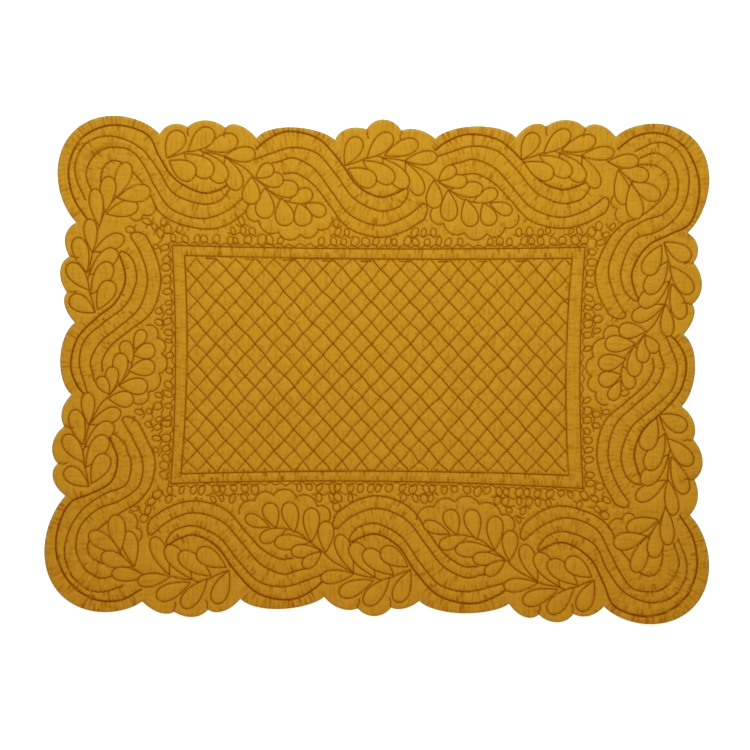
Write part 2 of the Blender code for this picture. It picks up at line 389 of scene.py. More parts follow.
def spray(repeat, before):
    """the stem, leaves and echo line of the spray that runs in under this repeat"""
    shift, inset, long, wide = SPRAYS[repeat["first"]]
    start, first, end, _ = repeat["notches"]
    outer = before["trough"][0] / DRAWN_TROUGH[0]
    if repeat["on_side"]:
        inner = (before["trough"][3] + repeat["trough"][3]) / 2 / DRAWN_TROUGH[1]
        along, inward = edge_frame(start, end)
        place = eased(first, along, [(-SPRAY_REACH, start), (SIDE_NOTCHES[0], end)])
    else:
        inner = outer
        along, inward = edge_frame(start, first)
        place = eased(first, along, [(-SPRAY_REACH, start), (SPRAY_REACH, 2 * first - start)])

    def on_edge(p):
        p = np.asarray(p, float)
        stretch = outer + (inner - outer) * ease((p[:, 0] + shift + UNDER_FADE / 2) / UNDER_FADE)
        return place(p[:, 0] + shift) + (p[:, 1] * stretch + inset)[:, None] * inward

    def in_corner(p):
        return corner_place(repeat["notches"][1:])(p) + shift * along + inset * inward

    under = on_edge if repeat["on_side"] else in_corner
    stem, leaves, arcs = SIDE_UNDER if repeat["on_side"] else CORNER_UNDER
    out = [("stem", spline(np.vstack([on_edge(STEM), under(stem)])))]
    for rows, to in ((LEAVES, on_edge), (leaves, under)):
        for row in rows:
            base, tip = to([row[:2], row[2:4]])
            out.append(("leaf", leaf(base, base + (tip - base) * long, row[4] * wide)))
    out.append(("echo", echo(under([row[:2] for row in arcs]), [row[2] for row in arcs])))
    return out


def inside(points, ring):
    """True for the points within the closed ring: an odd number of its sides lies to their right"""
    a, b = ring[None, :-1], ring[None, 1:]
    p = points[:, None]
    spans = (a[..., 1] > p[..., 1]) != (b[..., 1] > p[..., 1])
    rise = np.where(b[..., 1] == a[..., 1], 1e-9, b[..., 1] - a[..., 1])
    crossing = a[..., 0] + (p[..., 1] - a[..., 1]) * (b[..., 0] - a[..., 0]) / rise
    return ((spans & (crossing > p[..., 0])).sum(1) % 2).astype(bool)


def runs(line, keep, least=4):
    """the stretches of the line where keep is True"""
    parts = np.split(np.arange(len(line)), np.flatnonzero(np.diff(keep.astype(int))) + 1)
    return [line[part] for part in parts if keep[part[0]] and len(part) > least]


def hidden(line, fronts):
    """which of the line's points lie behind the leaves in front of it"""
    behind = np.zeros(len(line), bool)
    for ring in fronts:
        near = (np.abs(line - ring.mean(0)) < LEAF_BOX).all(1)
        if near.any():
            behind[near] |= inside(line[near], ring)
    return behind


sprays = [spray(repeat, repeats[k - 1]) for k, repeat in enumerate(repeats)]
all_leaves = [line for lines in sprays for kind, line in lines if kind == "leaf"]
seams = [(kind, part) for kind, line in seams for part in runs(line, ~hidden(line, all_leaves))]
for lines in sprays:
    in_front = []
    for kind, line in sorted(lines, key=lambda entry: entry[0] != "leaf"):
        seams += [(kind, part) for part in runs(line, ~hidden(line, in_front))]
        if kind == "leaf":
            in_front.append(line[0] + TUCK * (line - line[0]))
print(len(all_leaves), "leaves")

# %% [markdown]
# ## A field of squares under the cloth
#
# Much of what follows asks one question of many places: how far is the nearest sewn line?
# Asking it line by line would take an age. So the whole mat is laid on a field of small
# squares, the marks of the lines are dropped into their squares, and every square looks
# up its nearest mark: first along its own row, then through the rows above and below.

# %% A field of squares that knows its nearest seam
CELL = 0.3  # of the relief field
FIELD_MARGIN = 4.0
SEAM_STEP = 0.15
FAR = 9.0  # beyond this a seam has no say
NOWHERE = 9999  # a column off the field

low = outline.min(0) - FIELD_MARGIN
columns, rows = np.ceil((outline.max(0) + FIELD_MARGIN - low) / CELL).astype(int) + 1
xs = low[0] + CELL * np.arange(columns)
ys = low[1] + CELL * np.arange(rows)


def nearest_mark(points, far):
    """
    For every square of the field, the nearest of the points: its number, and the
    distance to it, sqrt(dx^2 + dy^2), or far where there is none so near.
    """
    cell = np.rint((points - low) / CELL).astype(int)
    mark = np.full((rows, columns), -1)
    mark[cell[:, 1], cell[:, 0]] = np.arange(len(points))
    column = np.arange(columns)
    before = np.maximum.accumulate(np.where(mark >= 0, column, -NOWHERE), 1)
    after = np.minimum.accumulate(np.where(mark >= 0, column, NOWHERE)[:, ::-1], 1)[:, ::-1]
    row_hit = np.where(column - before <= after - column, before, after)
    row_gap = np.abs(row_hit - column).astype(np.float32) ** 2
    row_mark = np.take_along_axis(mark, np.clip(row_hit, 0, columns - 1), 1)
    reach = int(far / CELL)
    best = np.full((rows, columns), np.float32(reach**2))
    found = np.full((rows, columns), -1)
    for shift in range(-reach, reach + 1):
        here = slice(max(0, -shift), rows - max(0, shift))
        there = slice(max(0, shift), rows - max(0, -shift))
        gap = row_gap[there] + np.float32(shift * shift)
        better = gap < best[here]
        best[here][better] = gap[better]
        found[here][better] = row_mark[there][better]
    at = points[found]
    distance = np.hypot(xs[None] - at[..., 0], ys[:, None] - at[..., 1])
    return np.where(found < 0, far, distance).astype(np.float32), found


# %% [markdown]
# ## Frame lines, crosshatch and loops
#
# Two frame lines a finger's width apart close the middle field. They bow a little,
# as sewn lines do. Inside them two families of straight lines cross at a little
# steeper than 45 degrees, twenty diamonds wide and ten deep, and they end just inside
# the frame, where every other pair turns back along it with a short run. Between the frame
# and the ribbons goes the filling: a running line beside the frame that turns one small
# loop after another, and second and third lines of loops wherever there is room.

# %% Frame, crosshatch and loops
# x, y, then the bow of the line to the next corner
OUTER_FRAME = [(-147.5, 89.9, -1.9), (150.5, 88.5, -3.0), (149.0, -85.5, -3.5), (-148.5, -82.0, -3.0)]
INNER_FRAME = [(-138.5, 82.5, -1.5), (141.0, 80.5, -3.0), (138.5, -76.0, -2.5), (-141.0, -75.0, -3.0)]
HATCH_GAP = 0.8  # between the ends of the lines and the inner frame line
HATCH_LEFT, HATCH_TOP, HATCH_BOTTOM = -136.4, 80.2, -73.6
HATCH_EASE = 0.1        # the lines start this much further left
HATCH_STARTS = np.arange(-14, 34) + 0.5  # in diamonds from there; those off the field are dropped
HATCH_DRIFT = (0.25, 14)  # how far a line drifts sideways, over what length
DIAMOND = (13.97, 15.38)
TURN_BACK = (1.7, 7.5)  # how far below the frame line the turning runs lie, and their length
TURN_STARTS = np.arange(0, 18, 2) + 0.95  # in diamonds
# how far outside the frame the running line lies, spacing of its loops, their radius
LOOP_ROWS = [(2.0, 7.6, 2.9), (9.0, 7.6, 2.8), (15.8, 7.8, 2.8), (22.6, 7.8, 2.8), (29.4, 8.0, 2.8)]
LOOP_STRAY = 0.22        # how unevenly they are spaced
LOOP_SIZE = (0.82, 1.15)
LOOP_LIFT = (-0.3, 0.9)  # how far off the running line they stand
LOOP_SQUASH = (0.66, 0.98)
LOOP_LEAN = 0.9
LOOP_TALL = 1.05
LOOP_CLEARANCE = 0.5
LEAST_LOOP = 1.9
LINE_CLEARANCE = 1.4
RUN_ON = 9               # points of running line kept on both sides of a loop
SWAY = (0.9, 0.4, 7.3)   # the line's sway from loop to loop, a slower sway, and that one's pace
POCKET_WALL = 2.4
POCKET_SEED = 3.2        # the pockets are entered this far out from the frame
POCKET_CELL = 3          # squares of the field to one of theirs
POCKET_STEPS = 90
TICK = (0.8, 7.0, 0.3)   # start, end, sway


def frame_side(frame_corners, k, share):
    """points at these shares of the way along side k, bowed outward by bow 4 s (1 - s)"""
    x, y, bow = frame_corners[k]
    start, end = np.array([x, y]), np.array(frame_corners[(k + 1) % 4][:2])
    out = leftward(end - start) / length(end - start)
    return start + share[:, None] * (end - start) + (bow * 4 * share * (1 - share))[:, None] * out


def frame_line(frame_corners):
    share = np.linspace(0, 1, 400, endpoint=False)
    line = np.vstack([frame_side(frame_corners, k, share) for k in range(4)])
    return resample(np.vstack([line, line[:1]]))


def heading(line):
    """the unit direction along the line at each of its points"""
    ahead = np.gradient(line, axis=0)
    return ahead / length(ahead)[:, None]


def outside(line, gap):
    """the line moved out by gap, round at its corners"""
    ahead = np.gradient(line, axis=0)
    blur = np.ones(5) / 5
    ahead = np.stack([np.convolve(np.r_[a[-3:-1], a, a[1:3]], blur, "valid") for a in ahead.T], 1)
    moved = line + gap * leftward(ahead) / length(ahead)[:, None]
    return resample(np.vstack([moved, moved[:1]]))


def wander(line, amount, reach, rng):
    """the line drifting sideways by about amount over lengths of about reach"""
    run = np.r_[0, np.cumsum(length(np.diff(line, axis=0)))]
    waves = np.arange(1, 6)
    drift = np.sin(run[:, None] * 2 * math.pi * waves / (5 * reach) + rng.uniform(0, 6.28, 5))
    drift = drift @ (rng.normal(0, 1, 5) / np.sqrt(waves))
    return line + (amount * drift)[:, None] * leftward(heading(line))


def crosshatch(rng):
    """both families of lines, cut off at the field's edge"""
    width, height = DIAMOND
    across = (HATCH_TOP - HATCH_BOTTOM) * width / height
    field = outside(frame_line(INNER_FRAME), -HATCH_GAP)
    lines = []
    for lean in (1, -1):
        for x in HATCH_LEFT - HATCH_EASE + HATCH_STARTS * width:
            share = np.linspace(0, 1, 800)[:, None]
            line = (1 - share) * [x, HATCH_TOP] + share * [x + lean * across, HATCH_BOTTOM]
            line = line[inside(line, field)]
            if len(line) > 12:
                lines.append(wander(resample(line), *HATCH_DRIFT, rng))
    return lines


def turn_backs():
    """the short runs beside the frame where the crosshatch stitching turns back"""
    below, run = TURN_BACK
    left, right = INNER_FRAME[0][0], INNER_FRAME[1][0]
    starts = HATCH_LEFT + TURN_STARTS * DIAMOND[0] - left
    shares = [np.linspace(x, x + run, 16) / (right - left) for x in starts]
    return [resample(frame_side(INNER_FRAME, 0, share) - [0, below]) for share in shares]


def nearest(line, points):
    """for each point, the distance to the nearest point of the line, some 400 points at a time"""
    gaps = [length(p[:, None] - line[None]) for p in np.array_split(points, max(1, len(points) // 400))]
    return np.concatenate([g.min(1) for g in gaps])


def pocket_cell(points):
    """column and row of the points in the pockets' squares"""
    return np.rint((points - low) / (POCKET_CELL * CELL)).astype(int)


def pockets(walls, seeds):
    """
    The squares that the filling may use: those further than POCKET_WALL from every wall
    that can be walked to from the seeds, found by growing the seeds a square at a time.
    """
    gap, _ = nearest_mark(walls, 2 * POCKET_WALL)
    open_ground = gap[::POCKET_CELL, ::POCKET_CELL] > POCKET_WALL
    reached = np.zeros_like(open_ground)
    cell = pocket_cell(seeds)
    reached[cell[:, 1], cell[:, 0]] = True
    for _ in range(POCKET_STEPS):
        grown = reached.copy()
        grown[1:] |= reached[:-1]
        grown[:-1] |= reached[1:]
        grown[:, 1:] |= reached[:, :-1]
        grown[:, :-1] |= reached[:, 1:]
        reached = grown & open_ground
    return reached


def loop_rows(border, rng):
    """loops on lines round the frame, as far out as the border motifs leave room"""
    frame_seam = frame_line(OUTER_FRAME)
    room = pockets(np.vstack([border, frame_seam]), outside(frame_seam, POCKET_SEED))
    out = []
    for row, (distance, spacing, radius) in enumerate(LOOP_ROWS):
        line = outside(frame_seam, distance)
        ahead = heading(line)
        count = round(0.5 * len(line) / spacing)
        stray = rng.uniform(-LOOP_STRAY, LOOP_STRAY, count)
        at = ((np.arange(count) + 0.5 + stray) * len(line) / count).astype(int)
        size = radius * rng.uniform(*LOOP_SIZE, count)
        lift = rng.uniform(*LOOP_LIFT, count)
        centres = line[at] + (size + lift)[:, None] * leftward(ahead[at])
        cell = pocket_cell(centres)
        size = np.minimum(size, nearest(border, centres) - LOOP_CLEARANCE)
        free = room[cell[:, 1], cell[:, 0]] & (size > LEAST_LOOP)
        near_loop = np.zeros(len(line), bool)
        for k, centre, r, up in zip(at[free], centres[free], size[free], lift[free]):
            angle = np.linspace(-math.pi / 2, 1.5 * math.pi, 40)
            squash, lean = rng.uniform(*LOOP_SQUASH), rng.uniform(-LOOP_LEAN, LOOP_LEAN)
            x = squash * r * np.cos(angle) + lean * (np.sin(angle) + 1)
            y = LOOP_TALL * r * np.sin(angle) - max(up, 0) * (1 - np.sin(angle)) / 2
            ring = centre + x[:, None] * ahead[k] + y[:, None] * leftward(ahead[k])
            out.append(("loop", resample(ring)))
            near_loop[np.arange(k - RUN_ON, k + RUN_ON + 1) % len(line)] = True
        clear = nearest(border, line) > LINE_CLEARANCE
        keep = clear & near_loop if row else clear
        place = np.arange(len(line))
        sway = SWAY[0] * np.sin(place * math.pi / spacing + row) + SWAY[1] * np.sin(place / SWAY[2])
        wavy = line + sway[:, None] * leftward(ahead)
        out += [("loop", part) for part in runs(wavy, keep, 8)]
    return out


def ticks():
    """a short line sewn inward from every notch between two small scallops"""
    small = (SHOULDERS == ROUND) & (np.roll(SHOULDERS, 1) == ROUND)
    out = []
    for i in np.flatnonzero(small):
        along, inward = edge_frame(NOTCHES[i - 1], NOTCHES[(i + 1) % len(NOTCHES)])
        s = np.linspace(*TICK[:2], 14)[:, None]
        out.append(NOTCHES[i] + s * inward + TICK[2] * np.sin(s) * along)
    return out


rng = np.random.default_rng(11)
border = np.vstack([line for _, line in seams])[::3]
seams += loop_rows(border, rng)
seams += [("frame", frame_line(OUTER_FRAME)), ("frame", frame_line(INNER_FRAME))]
seams += [("hatch", line) for line in crosshatch(rng) + turn_backs()]
seams += [("tick", line) for line in ticks()]
sewn = sum(length(np.diff(line, axis=0)).sum() for _, line in seams)
print(len(seams), "sewn lines,", round(sewn / 1000, 1), "m of stitching")

# %% [markdown]
# ## What the sewing does to the cloth
#
# A seam holds the two cloths together, and away from it the wadding pushes them apart,
# steeply at first and then hardly at all. So the height of the front over the table is
# nearly all a matter of the distance to the nearest seam.
#
# Knowing which stitch is nearest gives the puckers too. Thread draws cloth up along its
# length, so small folds stand square to every seam, a few millimetres apart, and fade
# within a few millimetres. They follow each seam's own length, differently on its two
# sides, and the sewn edge puckers the rim in the same way. The outermost line of each ribbon
# pulls and puckers most. Between the seams soft folds are left from the wash, upright ones
# nearly everywhere and level ones mostly near the two ends.

# %% The relief field
def sampled(field, points):
    """the field at the points, straight-line between its squares"""
    u = (points - low) / CELL
    i = np.clip(u.astype(int), 0, [columns - 2, rows - 2])
    f = u - i
    x, y = i[..., 0], i[..., 1]
    top = field[y, x] * (1 - f[..., 0]) + field[y, x + 1] * f[..., 0]
    foot = field[y + 1, x] * (1 - f[..., 0]) + field[y + 1, x + 1] * f[..., 0]
    return top * (1 - f[..., 1]) + foot * f[..., 1]


def soft_noise(rng, wide, tall):
    """
    Random numbers blurred to features wide by tall millimetres, with mean 0 and spread 1.
    The blur is exp(-(pi size frequency / 2)^2), worked on the field's frequencies.
    """
    wave = np.fft.rfft2(rng.standard_normal((rows, columns)))
    fx = np.fft.rfftfreq(columns, CELL) * wide / 2
    fy = np.fft.fftfreq(rows, CELL) * tall / 2
    wave *= np.exp(-(math.pi**2) * (fx[None] ** 2 + fy[:, None] ** 2))
    field = np.fft.irfft2(wave, (rows, columns))
    return ((field - field.mean()) / field.std()).astype(np.float32)


def along_noise(rng, count, step, scale):
    """the same along a line of count steps, with features about scale millimetres long"""
    reach = int(2 * scale / step)
    kernel = np.exp(-0.5 * (np.arange(-reach, reach + 1) * step / (scale / 2)) ** 2)
    kernel -= kernel.mean()
    line = np.convolve(rng.standard_normal(count), kernel, "same")
    return (line / line.std()).astype(np.float32)


# how firmly each kind pulls the cloth down
PULL = {"outer ribbon": 1.5, "ribbon": 1.0, "stem": 0.85, "leaf": 0.85, "echo": 0.8, "loop": 0.7,
        "frame": 0.85, "hatch": 0.8, "tick": 0.8}

# and how much it puckers it
PUCKERING = {"outer ribbon": 1.35, "ribbon": 1.15, "stem": 0.4, "leaf": 0.3, "echo": 0.6, "loop": 0.35,
             "frame": 1.35, "hatch": 0.5, "tick": 0.5}
# The cloth gives more in its width, so a level seam puckers it more than an upright one does:
# an upright seam by this much of the above, a level one by so much more
UPRIGHT_SHARE, LEVEL_EXTRA = 0.55, 0.5625
HATCH_TURNS = (1.12, 0.82)  # every other line of the crosshatch was sewn first and lies deeper
EDGE_REACH = 12.0           # how far in from the edge its stitches are known

marks, aheads, pulls, puckering = [], [], [], []
hatch_count = 0
for kind, line in seams:
    fine = resample(line, SEAM_STEP)
    firm = PULL[kind]
    if kind == "hatch":
        hatch_count += 1
        firm *= HATCH_TURNS[hatch_count % 2]
    marks.append(fine)
    aheads.append(heading(fine))
    pulls.append(np.full(len(fine), firm))
    how_level = np.abs(aheads[-1][:, 0])
    puckering.append(PUCKERING[kind] * (UPRIGHT_SHARE + LEVEL_EXTRA * how_level))
marks, aheads = np.vstack(marks), np.vstack(aheads)
pulls, puckering = np.concatenate(pulls), np.concatenate(puckering)

seam_gap, seam_mark = nearest_mark(marks, FAR)
rim = resample(np.vstack([outline, outline[:1]]), SEAM_STEP)
edge_gap, edge_mark = nearest_mark(rim, EDGE_REACH)
print("field of", columns, "x", rows, "squares,", len(marks), "marks")

# %% [markdown]
# The heights are judged from the shading: two cloths and a squeezed layer of wadding are
# about a millimetre and a half thick in a seam, and the pillows stand to nearly three. Light
# and shade are painted into the cloth's colour besides: painted shade darkens the furrow
# itself, the folds and the crease, and painted light from the white table makes the rim paler.

# %% Heights of front and back
SEAM_HEIGHT = 1.45
SLACK = 0.6            # how much higher a seam that pulls at nothing lies
FURROW = (0.72, 0.5)   # depth of the narrow part, how quickly it opens
PILLOW = (0.68, 2.6)
RIM_HEIGHT = 0.95      # where front and back cloth meet at the edge
EDGE_ROUND = 2.2
PUCKER = (0.54, 3.4, 6.0, 0.4)  # depth of the folds, spacing, reach from the seam, where they start
RIM_PUCKER = (0.55, 3.4, 5.0, 0.8)
THREAD_WOBBLE = (1.5, 6.0)      # how unevenly they are spaced, over what length
THREAD_FOLD = (0.66, 0.5, 4.0)  # their usual strength, how much it varies, over what length
STREAK = (0.44, 3.7)   # depth and spacing of the soft folds between seams
WASH_WOBBLE = 1.7
WASH_FOLD = (0.5, 0.4)
LEVEL_FOLDS = 0.25     # share of level folds in the middle
SIDE_SWAP = 0.35       # near the ends so much of the upright folds gives way to level ones,
SIDES = (140, 30)      # from this far out, over this stretch
SWELL = 0.03
BACK_FURROW = (0.42, 1.1)
BACK_FOLDS = 0.3
BACK_ROUND = 2.0
SHADED_FURROW = 0.44   # how far from the seam the cloth looks dark
SHADED_FOLD = 0.26     # how dark the folds look beside the furrows
SHADED_CREASE = 0.22
BACK_SHADE = (0.8, 0.9)  # how dark the back's furrows are, and how wide
RIM_LIGHT_REACH = 1.6         # how far in from the edge painted light from the white table makes the cloth paler
CREASE = ((-214.0, 150.0), (-187.0, 166.5), 0.35, 2.2)  # from, to, depth, width


def folds_at(place, spacing, wobble, strength, sharp=2):
    """
    Narrow valleys about spacing apart, (1/2 + 1/2 cos(2 pi place / spacing + wobble))^sharp,
    deeper and shallower along their way as strength says.
    """
    wave = 0.5 + 0.5 * np.cos(2 * math.pi * place / spacing + wobble)
    return wave**sharp * np.clip(strength, 0, 1.5)


def thread_folds(rng, count, spacing):
    """the folds along a sewn line of count steps"""
    wobble = THREAD_WOBBLE[0] * along_noise(rng, count, SEAM_STEP, THREAD_WOBBLE[1])
    strength = THREAD_FOLD[0] + THREAD_FOLD[1] * along_noise(rng, count, SEAM_STEP, THREAD_FOLD[2])
    return folds_at(SEAM_STEP * np.arange(count), spacing, wobble, strength)


def wash_folds(rng, place, wobble_size, strength_size):
    """the soft folds that follow one another along place"""
    wobble = WASH_WOBBLE * soft_noise(rng, *wobble_size)
    strength = WASH_FOLD[0] + WASH_FOLD[1] * soft_noise(rng, *strength_size)
    return folds_at(place, STREAK[1], wobble, strength, sharp=3)


rng = np.random.default_rng(5)
side_vector = np.stack([xs[None] - marks[seam_mark, 0], ys[:, None] - marks[seam_mark, 1]], -1)
on_left = (side_vector * leftward(aheads[seam_mark])).sum(-1) > 0
left_fold = thread_folds(rng, len(marks), PUCKER[1])
right_fold = thread_folds(rng, len(marks), PUCKER[1])
pucker = np.where(on_left, left_fold[seam_mark], right_fold[seam_mark]) * puckering[seam_mark]
pucker = np.where(seam_mark < 0, 0, pucker)
rim_fold = thread_folds(rng, len(rim), RIM_PUCKER[1])
rim_fold = np.where(edge_mark < 0, 0, rim_fold[edge_mark]) * puckering[seam_mark]
rim_fold *= np.exp(-((edge_gap / RIM_PUCKER[2]) ** 2)) * np.minimum(edge_gap / RIM_PUCKER[3], 1)
reach = np.exp(-((seam_gap / PUCKER[2]) ** 2)) * (1 - np.exp(-seam_gap / PUCKER[3]))
upright = wash_folds(rng, xs[None], (7.0, 14.0), (4.0, 9.0))
level = wash_folds(rng, ys[:, None], (14.0, 7.0), (9.0, 4.0))
at_sides = ease((np.abs(xs[None]) - SIDES[0]) / SIDES[1])
streak = upright * (1 - SIDE_SWAP * at_sides) + level * (LEVEL_FOLDS + SIDE_SWAP * at_sides)
swell = soft_noise(rng, 26.0, 20.0)
pull = np.where(seam_mark < 0, 1.0, pulls[seam_mark]).astype(np.float32)

open_furrow = 1 - np.exp(-seam_gap / FURROW[1])
pillow = 1 - np.exp(-seam_gap / PILLOW[1])
folds = PUCKER[0] * reach * pucker + RIM_PUCKER[0] * rim_fold + STREAK[0] * streak * pillow
front = SEAM_HEIGHT + (1 - pull) * SLACK + FURROW[0] * pull * open_furrow + PILLOW[0] * pillow
front += SWELL * swell - folds

a, b = np.array(CREASE[0]), np.array(CREASE[1])
along = (b - a) / length(b - a)
from_a = np.stack(np.meshgrid(xs - a[0], ys - a[1]), -1)
off_line = np.abs((from_a * leftward(along)).sum(-1))
share = (from_a @ along) / length(b - a)
crease = np.exp(-((off_line / CREASE[3]) ** 2))
crease = crease * ease(4 * share) * ease(4 * (1 - share))  # it fades over a quarter at each end
front -= CREASE[2] * crease

round_off = np.sqrt(1 - (1 - np.minimum(edge_gap / EDGE_ROUND, 1)) ** 2)
front = RIM_HEIGHT + (front - RIM_HEIGHT) * round_off
back = BACK_FURROW[0] * pull * np.exp(-seam_gap / BACK_FURROW[1]) + BACK_FOLDS * folds
back += (RIM_HEIGHT - back) * (1 - np.minimum(edge_gap / BACK_ROUND, 1)) ** 2
back = np.maximum(back, 0.0)
# cloth can't fold sharper than its own thickness, so the front is evened out by one square
front[1:-1] = (front[:-2] + 2 * front[1:-1] + front[2:]) / 4
front[:, 1:-1] = (front[:, :-2] + 2 * front[:, 1:-1] + front[:, 2:]) / 4
slope_y, slope_x = np.gradient(front, CELL)
# painted shade: how much darker the cloth is painted in the furrows, beside the folds and along the crease
shade = np.exp(-((seam_gap / SHADED_FURROW) ** 2)) * pull
shade = shade + SHADED_FOLD * folds / PUCKER[0] + SHADED_CREASE * crease
back_shade = BACK_SHADE[0] * np.exp(-((seam_gap / BACK_SHADE[1]) ** 2)) * pull
# painted light: near the edge the cloth is made paler for the white table's light on the rim
rim_light_share = np.exp(-((edge_gap / RIM_LIGHT_REACH) ** 2))
print("front from", round(float(front.min()), 2), "to", round(float(front.max()), 2), "mm")

# %% [markdown]
# ## The cloths as nets of small squares
#
# A sewn line is about a millimetre wide, so the front's net must be finer than that all
# over. The net is laid out as the mat is: a middle field bounded by the outer frame line,
# and a border whose threads run from the frame to the scalloped edge, twice as many of them
# since the edge is so much longer. A row of triangles takes the one into the other. The
# border is cut into four strips at the frame's corners, only so that each strip stays
# light enough to handle. Strips share the points along their cuts, and their surface
# directions too, so the cuts don't show.

# %% Nets
NET = 0.88        # spacing of the front's net; the back's is twice as wide
SNAP = 0.44       # points of the net this share of its spacing from a seam move onto it
EDGE_ROWS = np.array([1.9, 1.35, 0.85, 0.45, 0.15, 0.0])  # distances in from the edge
UNDER_ROWS = np.array([2.4, 1.2, 0.4])
EDGE_STEP = 0.08
FAN = 6           # at a notch the outward direction swings round over this many columns each way
LOBES = np.roll(np.flatnonzero(SHOULDERS == CORNER), 1)


def edge_points(per_side):
    """
    Points round the edge, twice as many for each side as its frame side has, from the
    middle of one corner lobe to the middle of the next; and the outward directions there.
    """
    dense = edge_arcs(EDGE_STEP)
    points = []
    for here, then, count in zip(LOBES, np.roll(LOBES, -1), per_side):
        between = (here + np.arange(1, (then - here) % len(dense))) % len(dense)
        run = np.vstack([dense[here][len(dense[here]) // 2:], *[dense[i] for i in between],
                         dense[then][: len(dense[then]) // 2 + 1]])
        travel = np.r_[0, np.cumsum(length(np.diff(run, axis=0)))]
        at = np.linspace(0, travel[-1], 2 * count, endpoint=False)
        points.append(np.stack([np.interp(at, travel, run[:, j]) for j in (0, 1)], 1))
    points = np.vstack(points)
    ahead = np.roll(points, -1, 0) - np.roll(points, 1, 0)
    out = leftward(ahead) / length(ahead)[:, None]
    out = sum((FAN + 1 - abs(k)) * np.roll(out, k, 0) for k in range(-FAN, FAN + 1))
    return points, out / length(out)[:, None]


def lay_net(across, down, spacing, last_rows):
    """
    The whole net: the middle field as a grid of across by down squares, filled in from
    its four sides, and the border as a (rows, columns) grid closed on itself.
    """
    per_side = (across, down, across, down)
    sides = [frame_side(OUTER_FRAME, k, np.arange(n + 1) / n) for k, n in enumerate(per_side)]
    top, right, foot, left = sides[0], sides[1], sides[2][::-1], sides[3][::-1]
    u = (np.arange(across + 1) / across)[None, :, None]
    v = (np.arange(down + 1) / down)[:, None, None]
    field = (1 - v) * top[None] + v * foot[None] + (1 - u) * left[:, None] + u * right[:, None]
    field -= (1 - v) * ((1 - u) * top[0] + u * top[-1]) + v * ((1 - u) * foot[0] + u * foot[-1])
    inner = np.vstack([side[:-1] for side in sides])
    edge, out = edge_points(per_side)
    halfway = (inner + np.roll(inner, -1, 0)) / 2
    inner_fine = np.stack([inner, halfway], 1).reshape(-1, 2)
    shoulder = edge - last_rows[0] * out
    steps = round(length(shoulder - inner_fine).mean() / spacing)
    t = (np.arange(steps + 1) / steps)[:, None, None]
    border = (1 - t) * inner_fine[None] + t * shoulder[None]
    border = np.concatenate([border, edge[None] - last_rows[1:, None, None] * out[None]])
    return field, border


def quads(height, width):
    """faces of a grid of points numbered row by row"""
    i = np.arange((height - 1) * width).reshape(height - 1, width)[:, :-1]
    return np.stack([i, i + width, i + width + 1, i + 1], -1).reshape(-1, 4)


def front_normals(plan):
    """the front's directions (-slope x, -slope y, 1) at the places of the plan, made 1 long"""
    x, y = sampled(slope_x, plan), sampled(slope_y, plan)
    n = np.stack([-x, -y, np.ones(x.shape)], -1)
    return n / length(n)[..., None]


def grid_normals(points):
    """surface directions of a border grid closed on itself along its rows"""
    along = np.roll(points, -1, 1) - np.roll(points, 1, 1)
    across = np.gradient(points, axis=0)
    n = np.cross(along, across)
    return n / np.maximum(length(n), 1e-12)[..., None]


def zipped(count):
    """triangles from a row of count points to the row after it with 2 count - 1"""
    i = np.arange(count - 1)
    fine = count + 2 * i
    return np.concatenate([np.stack([i, fine + 1, fine], -1), np.stack([i, i + 1, fine + 1], -1),
                           np.stack([i + 1, fine + 2, fine + 1], -1)])


def strip(values, take):
    """the border's values at these columns, its first row at every other one of them"""
    values = values.reshape(*values.shape[:2], -1)
    return np.concatenate([values[0, take[::2]], values[1:, take].reshape(-1, values.shape[-1])])


def strip_faces(height, take):
    """faces of such a strip, seen from above"""
    count = len(take[::2])
    return zipped(count), quads(height - 1, len(take))[:, ::-1] + count


def placed(name, data):
    """a new object in the scene"""
    thing = bpy.data.objects.new(name, data)
    bpy.context.scene.collection.objects.link(thing)
    return thing


def make_piece(name, points, faces, normals, shade_values, material):
    """one mesh from whole arrays, smooth, with its own surface directions"""
    mesh = bpy.data.meshes.new(name)
    mesh.vertices.add(len(points))
    centred = (points - [*middle, 0]) * MM
    mesh.vertices.foreach_set("co", centred.astype(np.float32).ravel())
    corners = np.concatenate([f.reshape(-1) for f in faces])
    sizes = np.concatenate([[f.shape[1]] * len(f) for f in faces])
    mesh.loops.add(len(corners))
    mesh.loops.foreach_set("vertex_index", corners.astype(np.int32))
    mesh.polygons.add(len(sizes))
    mesh.polygons.foreach_set("loop_start", np.r_[0, np.cumsum(sizes)[:-1]].astype(np.int32))
    mesh.update(calc_edges=True)
    mesh.polygons.foreach_set("use_smooth", np.ones(len(sizes), bool))
    if normals is not None:
        mesh.normals_split_custom_set_from_vertices(normals.astype(np.float32))
    if shade_values is not None:
        # the painted shade and the painted rim light are stored on the points
        for layer_name, values in (("seam", shade_values), ("rim", sampled(rim_light_share, points[:, :2]))):
            layer = mesh.attributes.new(layer_name, "FLOAT", "POINT")
            layer.data.foreach_set("value", values.astype(np.float32).ravel())
    mesh.materials.append(material)
    return placed(name, mesh)


(left_x, back_y, _), (right_x, _, _), (_, near_y, _) = OUTER_FRAME[:3]
ACROSS, DOWN = 2 * round((right_x - left_x) / NET / 2), 2 * round((back_y - near_y) / NET / 2)
front_field, front_border = lay_net(ACROSS, DOWN, NET, EDGE_ROWS)
back_field, back_border = lay_net(ACROSS // 2, DOWN // 2, 2 * NET, UNDER_ROWS)


def drawn_to_seams(plan, reach):
    """points of the plan that lie within reach of a seam moved onto it"""
    cell = np.rint((plan - low) / CELL).astype(int)
    mark = seam_mark[cell[..., 1], cell[..., 0]]
    foot = marks[mark]
    close = (mark >= 0) & (length(plan - foot) < reach)
    return np.where(close[..., None], foot, plan)


def snapped_field(plan, spacing):
    """a middle field drawn to the seams, all but its rim"""
    reach = np.full(plan.shape[:2], SNAP * spacing)
    reach[[0, -1]] = 0
    reach[:, [0, -1]] = 0
    return drawn_to_seams(plan, reach)


